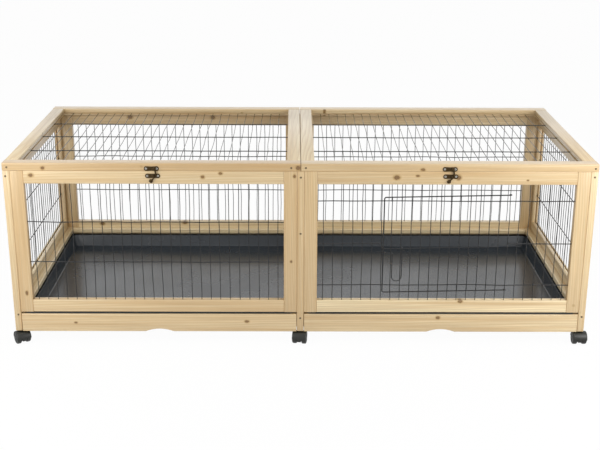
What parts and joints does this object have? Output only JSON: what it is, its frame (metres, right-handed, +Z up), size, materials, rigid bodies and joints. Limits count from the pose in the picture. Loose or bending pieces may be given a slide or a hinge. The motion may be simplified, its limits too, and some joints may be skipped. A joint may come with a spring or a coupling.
{
  "type": "guinea pig run",
  "caption": "Low timber pet run with wire mesh sides, hinged mesh lids with hook latches, a wire door, pull-out trays behind notched drawer fronts, and twin-wheel castors.",
  "frame": {"origin": "on the floor under the middle of the run", "axes": "+X along the length to the right, -Y to the front with the drawers and the door, +Z up"},
  "size_m": [1.5244, 0.6794, 0.496],
  "materials": {
    "timber": "planed softwood, clear matt coat",
    "black_wire": "black coated welded wire",
    "tray_plastic": "semi-gloss vacuum-formed sheet",
    "hinge_steel": "zinc plated",
    "bronzed_metal": "antique bronze plated",
    "castor_plastic": "moulded, satin",
    "castor_steel": "zinc plated"
  },
  "bodies": {
    "run_frame": {"back_left_mesh": "black_wire", "back_left_rails": "timber", "back_left_stiles": "timber", "back_right_mesh": "black_wire", "back_right_rails": "timber", "back_right_stiles": "timber", "castor_stems": "castor_steel", "catch_plates": "bronzed_metal", "centre_posts": "timber", "centre_rails": "timber", "front_left_mesh": "black_wire", "front_left_rails": "timber", "front_left_stiles": "timber", "front_right_mesh": "black_wire", "front_right_rails": "timber", "front_right_stiles": "timber", "left_end_mesh": "black_wire", "left_end_posts": "timber", "left_end_rails": "timber", "left_hinge_fixed_leaves": "hinge_steel", "left_hinge_pins": "hinge_steel", "right_end_mesh": "black_wire", "right_end_posts": "timber", "right_end_rails": "timber", "right_hinge_fixed_leaves": "hinge_steel", "right_hinge_pins": "hinge_steel", "tray_ledges": "timber", "tray_runners": "timber"},
    "left_lid": {"left_lid_rails": "timber", "left_lid_stiles": "timber", "left_lid_mesh": "black_wire", "left_lid_hinge_leaves": "hinge_steel", "left_hook_plate": "bronzed_metal"},
    "left_hook_arm": {"left_hook": "bronzed_metal"},
    "left_drawer": {"left_drawer_front": "timber", "left_tray": "tray_plastic"},
    "right_lid": {"right_lid_rails": "timber", "right_lid_stiles": "timber", "right_lid_mesh": "black_wire", "right_lid_hinge_leaves": "hinge_steel", "right_hook_plate": "bronzed_metal"},
    "right_hook_arm": {"right_hook": "bronzed_metal"},
    "right_drawer": {"right_drawer_front": "timber", "right_tray": "tray_plastic"},
    "door": {"wire_door": "black_wire"},
    "latch": {"door_latch": "black_wire"},
    "front_left_castor": {"front_left_castor_housing": "castor_plastic"},
    "front_left_wheels": {"front_left_castor_wheels": "castor_plastic"},
    "front_centre_castor": {"front_centre_castor_housing": "castor_plastic"},
    "front_centre_wheels": {"front_centre_castor_wheels": "castor_plastic"},
    "front_right_castor": {"front_right_castor_housing": "castor_plastic"},
    "front_right_wheels": {"front_right_castor_wheels": "castor_plastic"},
    "back_left_castor": {"back_left_castor_housing": "castor_plastic"},
    "back_left_wheels": {"back_left_castor_wheels": "castor_plastic"},
    "back_centre_castor": {"back_centre_castor_housing": "castor_plastic"},
    "back_centre_wheels": {"back_centre_castor_wheels": "castor_plastic"},
    "back_right_castor": {"back_right_castor_housing": "castor_plastic"},
    "back_right_wheels": {"back_right_castor_wheels": "castor_plastic"}
  },
  "joints": [
    {"name": "left_lid_swing", "type": "hinge", "parent": "run_frame", "child": "left_lid", "pos_m": [-0.375, 0.3262, 0.476], "axis": [-1, 0, 0], "range_deg": [0, 180]},
    {"name": "left_hook_turn", "type": "hinge", "parent": "left_lid", "child": "left_hook_arm", "pos_m": [-0.3675, -0.3265, 0.4827], "axis": [0, -1, 0], "range_deg": [0, 100]},
    {"name": "left_drawer_slide", "type": "slide", "parent": "run_frame", "child": "left_drawer", "axis": [0, -1, 0], "range_m": [0, 0.58]},
    {"name": "right_lid_swing", "type": "hinge", "parent": "run_frame", "child": "right_lid", "pos_m": [0.375, 0.3262, 0.476], "axis": [-1, 0, 0], "range_deg": [0, 180]},
    {"name": "right_hook_turn", "type": "hinge", "parent": "right_lid", "child": "right_hook_arm", "pos_m": [0.3825, -0.3265, 0.4827], "axis": [0, -1, 0], "range_deg": [0, 100]},
    {"name": "right_drawer_slide", "type": "slide", "parent": "run_frame", "child": "right_drawer", "axis": [0, -1, 0], "range_m": [0, 0.58]},
    {"name": "door_swing", "type": "hinge", "parent": "run_frame", "child": "door", "pos_m": [0.533, -0.3175, 0.2845], "axis": [0, 0, 1], "range_deg": [0, 165]},
    {"name": "door_latch_slide", "type": "slide", "parent": "door", "child": "latch", "axis": [1, 0, 0], "range_m": [0, 0.011]},
    {"name": "front_left_swivel", "type": "hinge", "parent": "run_frame", "child": "front_left_castor", "pos_m": [-0.741, -0.306, 0.028], "axis": [0, 0, 1], "continuous": true},
    {"name": "front_left_roll", "type": "hinge", "parent": "front_left_castor", "child": "front_left_wheels", "pos_m": [-0.7361, -0.31355, 0.016], "axis": [0.8387, 0.5446, 0], "continuous": true},
    {"name": "front_centre_swivel", "type": "hinge", "parent": "run_frame", "child": "front_centre_castor", "pos_m": [0, -0.306, 0.028], "axis": [0, 0, 1], "continuous": true},
    {"name": "front_centre_roll", "type": "hinge", "parent": "front_centre_castor", "child": "front_centre_wheels", "pos_m": [-0.00125, -0.31491, 0.016], "axis": [0.9903, -0.1392, 0], "continuous": true},
    {"name": "front_right_swivel", "type": "hinge", "parent": "run_frame", "child": "front_right_castor", "pos_m": [0.741, -0.306, 0.028], "axis": [0, 0, 1], "continuous": true},
    {"name": "front_right_roll", "type": "hinge", "parent": "front_right_castor", "child": "front_right_wheels", "pos_m": [0.741, -0.315, 0.016], "axis": [1, 0, 0], "continuous": true},
    {"name": "back_left_swivel", "type": "hinge", "parent": "run_frame", "child": "back_left_castor", "pos_m": [-0.741, 0.306, 0.028], "axis": [0, 0, 1], "continuous": true},
    {"name": "back_left_roll", "type": "hinge", "parent": "back_left_castor", "child": "back_left_wheels", "pos_m": [-0.741, 0.315, 0.016], "axis": [1, 0, 0], "continuous": true},
    {"name": "back_centre_swivel", "type": "hinge", "parent": "run_frame", "child": "back_centre_castor", "pos_m": [0, 0.306, 0.028], "axis": [0, 0, 1], "continuous": true},
    {"name": "back_centre_roll", "type": "hinge", "parent": "back_centre_castor", "child": "back_centre_wheels", "pos_m": [0.00125, 0.31491, 0.016], "axis": [0.9903, -0.1392, 0], "continuous": true},
    {"name": "back_right_swivel", "type": "hinge", "parent": "run_frame", "child": "back_right_castor", "pos_m": [0.741, 0.306, 0.028], "axis": [0, 0, 1], "continuous": true},
    {"name": "back_right_roll", "type": "hinge", "parent": "back_right_castor", "child": "back_right_wheels", "pos_m": [0.7361, 0.31355, 0.016], "axis": [0.8387, 0.5446, 0], "continuous": true}
  ]
}
